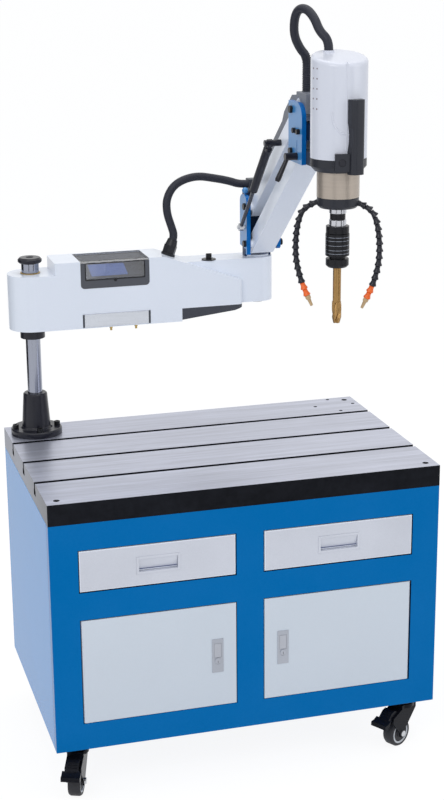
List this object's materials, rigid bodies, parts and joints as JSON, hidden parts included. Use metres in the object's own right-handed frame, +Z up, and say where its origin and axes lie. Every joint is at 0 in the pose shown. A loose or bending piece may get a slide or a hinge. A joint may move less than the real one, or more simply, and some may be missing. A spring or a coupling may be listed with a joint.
{
  "type": "arm tapping machine",
  "caption": "Mobile tapping station: spring-balanced jointed arm with a tilting servo tapping head on a T-slot table over a steel cabinet with drawers and doors.",
  "frame": {"origin": "on the floor under the centre of the table", "axes": "+Z up, -Y the side with drawers and doors, +X from the column towards the head"},
  "size_m": [1, 0.7927, 1.9182],
  "materials": {
    "blue_enamel": "gloss",
    "grey_enamel": "satin",
    "arm_enamel": "satin",
    "bracket_blue": "satin",
    "ground_iron": "ground",
    "bright_steel": "turned",
    "black_steel": "blackened",
    "zinc_steel": "zinc",
    "bronze": "turned",
    "brass": "turned",
    "chrome": "polished",
    "dark_plastic": "matt",
    "black_plastic": "gloss",
    "grey_plastic": "matt",
    "warm_grey": "anodised",
    "screen": "gloss",
    "smoked": "clear",
    "blue_plastic": "gloss",
    "wheel_rubber": "matt",
    "cable_rubber": "matt",
    "hose_plastic": "gloss",
    "tool_steel": "coated"
  },
  "bodies": {
    "cabinet": {"cabinet_body": "blue_enamel", "front_frame": "blue_enamel", "cabinet_dividers": "blue_enamel", "cabinet_hardware": "zinc_steel", "castor_plates": "zinc_steel", "t_slot_table": "ground_iron", "socket_screws": "black_steel", "column_base": "black_steel", "column_tube": "bright_steel", "column_cap": "black_plastic"},
    "swing_arm": {"arm_beam": "arm_enamel", "arm_bushes": "bronze", "arm_trims": "dark_plastic", "arm_fittings": "brass", "control_panel": "screen", "arm_cable": "cable_rubber"},
    "lid": {"controller_lid": "smoked"},
    "lock_knob": {"arm_lock_knob": "black_plastic"},
    "turret": {"turret_bracket": "bracket_blue", "swivel_shaft": "bright_steel", "turret_cable_box": "dark_plastic", "turret_pins": "bright_steel"},
    "plunger": {"turret_plunger": "blue_plastic"},
    "upper_link": {"upper_link": "arm_enamel", "link_cover": "dark_plastic"},
    "lower_link": {"lower_link": "arm_enamel"},
    "spring_cylinder": {"gas_spring_cylinder": "black_steel"},
    "spring_rod": {"gas_spring_rod": "chrome"},
    "head_bracket": {"upper_bracket": "bracket_blue", "bracket_pins": "bright_steel", "cable_box": "grey_plastic", "head_cable": "cable_rubber"},
    "tilt_lever": {"clamp_lever": "black_plastic"},
    "head": {"tilt_block": "arm_enamel", "motor_cover": "arm_enamel", "servo_motor": "black_steel", "head_rings": "dark_plastic", "gearbox_body": "warm_grey", "grip_bar": "dark_plastic", "coolant_hoses": "hose_plastic"},
    "button": {"start_button": "blue_plastic"},
    "spindle": {"spindle": "bright_steel", "tap": "tool_steel"},
    "sleeve": {"chuck_sleeve": "black_steel"},
    "drawer_left": {"drawer_left": "grey_enamel"},
    "door_left": {"door_left": "grey_enamel"},
    "lever_left": {"lock_lever_left": "black_plastic"},
    "drawer_right": {"drawer_right": "grey_enamel"},
    "door_right": {"door_right": "grey_enamel"},
    "lever_right": {"lock_lever_right": "black_plastic"},
    "fork_front_left": {"castor_fork_front_left": "dark_plastic"},
    "wheel_front_left": {"castor_wheel_front_left": "wheel_rubber"},
    "pedal_front_left": {"brake_pedal_front_left": "dark_plastic"},
    "fork_front_right": {"castor_fork_front_right": "dark_plastic"},
    "wheel_front_right": {"castor_wheel_front_right": "wheel_rubber"},
    "pedal_front_right": {"brake_pedal_front_right": "dark_plastic"},
    "fork_rear_left": {"castor_fork_rear_left": "dark_plastic"},
    "wheel_rear_left": {"castor_wheel_rear_left": "wheel_rubber"},
    "fork_rear_right": {"castor_fork_rear_right": "dark_plastic"},
    "wheel_rear_right": {"castor_wheel_rear_right": "wheel_rubber"}
  },
  "joints": [
    {"name": "arm_swing", "type": "hinge", "parent": "cabinet", "child": "swing_arm", "pos_m": [-0.422, 0.257, 1.15], "axis": [0, 0, 1], "range_deg": [-90, 90]},
    {"name": "turret_swivel", "type": "hinge", "parent": "swing_arm", "child": "turret", "pos_m": [0.198, 0.257, 1.17], "axis": [0, 0, 1], "range_deg": [-60, 90], "deforming": ["arm_cable"]},
    {"name": "lift", "type": "hinge", "parent": "turret", "child": "upper_link", "pos_m": [0.198, 0.2015, 1.3745], "axis": [-1, 0, 0], "range_deg": [-48.5, 20]},
    {"name": "lower_link_pivot", "type": "hinge", "parent": "turret", "child": "lower_link", "pos_m": [0.198, 0.2015, 1.2745], "axis": [-1, 0, 0], "range_deg": [-49, 20.5]},
    {"name": "bracket_level", "type": "hinge", "parent": "upper_link", "child": "head_bracket", "pos_m": [0.198, -0.18302, 1.67009], "axis": [-1, 0, 0], "range_deg": [-20.5, 49]},
    {"name": "spring_pivot", "type": "hinge", "parent": "upper_link", "child": "spring_cylinder", "pos_m": [0.138, -0.04916, 1.57349], "axis": [-1, 0, 0], "range_deg": [-3, 5]},
    {"name": "spring_stroke", "type": "slide", "parent": "spring_cylinder", "child": "spring_rod", "axis": [0, 0.7031, -0.7111], "range_m": [-0.04, 0.017]},
    {"name": "head_tilt", "type": "hinge", "parent": "head_bracket", "child": "head", "pos_m": [0.198, -0.22302, 1.56309], "axis": [1, 0, 0], "range_deg": [-10, 30], "deforming": ["head_cable"]},
    {"name": "tilt_clamp", "type": "hinge", "parent": "head_bracket", "child": "tilt_lever", "pos_m": [0.138, -0.22302, 1.56309], "axis": [1, 0, 0], "range_deg": [-40, 40]},
    {"name": "spindle_turn", "type": "hinge", "parent": "head", "child": "spindle", "pos_m": [0.198, -0.38102, 1.4], "axis": [0, 0, 1], "continuous": true},
    {"name": "chuck_release", "type": "slide", "parent": "spindle", "child": "sleeve", "axis": [0, 0, -1], "range_m": [0, 0.006], "stiffness_N_per_m": 1500, "springref_m": -0.006},
    {"name": "start_press", "type": "slide", "parent": "head", "child": "button", "axis": [0.225, 0.9744, 0], "range_m": [0, 0.003], "stiffness_N_per_m": 500, "springref_m": -0.003},
    {"name": "turret_lock", "type": "slide", "parent": "turret", "child": "plunger", "axis": [0, 0, 1], "range_m": [0, 0.008], "stiffness_N_per_m": 300, "springref_m": -0.006},
    {"name": "arm_lock", "type": "hinge", "parent": "swing_arm", "child": "lock_knob", "pos_m": [0.056, 0.23, 1.24], "axis": [0, 0, 1], "range_deg": [0, 180]},
    {"name": "lid_open", "type": "hinge", "parent": "swing_arm", "child": "lid", "pos_m": [-0.2, 0.3062, 1.2525], "axis": [-1, 0, 0], "range_deg": [0, 80]},
    {"name": "drawer_left_slide", "type": "slide", "parent": "cabinet", "child": "drawer_left", "axis": [0, -1, 0], "range_m": [0, 0.35]},
    {"name": "door_left_hinge", "type": "hinge", "parent": "cabinet", "child": "door_left", "pos_m": [-0.422, -0.319, 0.34], "axis": [0, 0, -1], "range_deg": [0, 100]},
    {"name": "lever_left_flip", "type": "hinge", "parent": "door_left", "child": "lever_left", "pos_m": [-0.0855, -0.324, 0.37415], "axis": [-1, 0, 0], "range_deg": [0, 60]},
    {"name": "drawer_right_slide", "type": "slide", "parent": "cabinet", "child": "drawer_right", "axis": [0, -1, 0], "range_m": [0, 0.35]},
    {"name": "door_right_hinge", "type": "hinge", "parent": "cabinet", "child": "door_right", "pos_m": [0.422, -0.319, 0.34], "axis": [0, 0, 1], "range_deg": [0, 100]},
    {"name": "lever_right_flip", "type": "hinge", "parent": "door_right", "child": "lever_right", "pos_m": [0.0855, -0.324, 0.37415], "axis": [-1, 0, 0], "range_deg": [0, 60]},
    {"name": "castor_front_left_swivel", "type": "hinge", "parent": "cabinet", "child": "fork_front_left", "pos_m": [-0.438, -0.27, 0.12], "axis": [0, 0, 1], "continuous": true},
    {"name": "castor_front_left_roll", "type": "hinge", "parent": "fork_front_left", "child": "wheel_front_left", "pos_m": [-0.44774, -0.29411, 0.038], "axis": [0.9272, -0.3746, 0], "continuous": true},
    {"name": "brake_front_left", "type": "hinge", "parent": "fork_front_left", "child": "pedal_front_left", "pos_m": [-0.45898, -0.32192, 0.084], "axis": [0.9272, -0.3746, 0], "range_deg": [0, 15]},
    {"name": "castor_front_right_swivel", "type": "hinge", "parent": "cabinet", "child": "fork_front_right", "pos_m": [0.438, -0.27, 0.12], "axis": [0, 0, 1], "continuous": true},
    {"name": "castor_front_right_roll", "type": "hinge", "parent": "fork_front_right", "child": "wheel_front_right", "pos_m": [0.41548, -0.283, 0.038], "axis": [0.5, -0.866, 0], "continuous": true},
    {"name": "brake_front_right", "type": "hinge", "parent": "fork_front_right", "child": "pedal_front_right", "pos_m": [0.3895, -0.298, 0.084], "axis": [0.5, -0.866, 0], "range_deg": [0, 15]},
    {"name": "castor_rear_left_swivel", "type": "hinge", "parent": "cabinet", "child": "fork_rear_left", "pos_m": [-0.438, 0.27, 0.12], "axis": [0, 0, 1], "continuous": true},
    {"name": "castor_rear_left_roll", "type": "hinge", "parent": "fork_rear_left", "child": "wheel_rear_left", "pos_m": [-0.43171, 0.24477, 0.038], "axis": [0.9703, 0.2419, 0], "continuous": true},
    {"name": "castor_rear_right_swivel", "type": "hinge", "parent": "cabinet", "child": "fork_rear_right", "pos_m": [0.438, 0.27, 0.12], "axis": [0, 0, 1], "continuous": true},
    {"name": "castor_rear_right_roll", "type": "hinge", "parent": "fork_rear_right", "child": "wheel_rear_right", "pos_m": [0.42579, 0.24704, 0.038], "axis": [0.8829, -0.4695, 0], "continuous": true}
  ],
  "couplings": [
    {"joint": "lower_link_pivot", "follows": "lift", "ratio": 1},
    {"joint": "bracket_level", "follows": "lift", "ratio": -1},
    {"joint": "spring_pivot", "follows": "lift", "ratio": -0.08},
    {"joint": "spring_stroke", "follows": "lift", "m_per_rad": 0.0458}
  ]
}
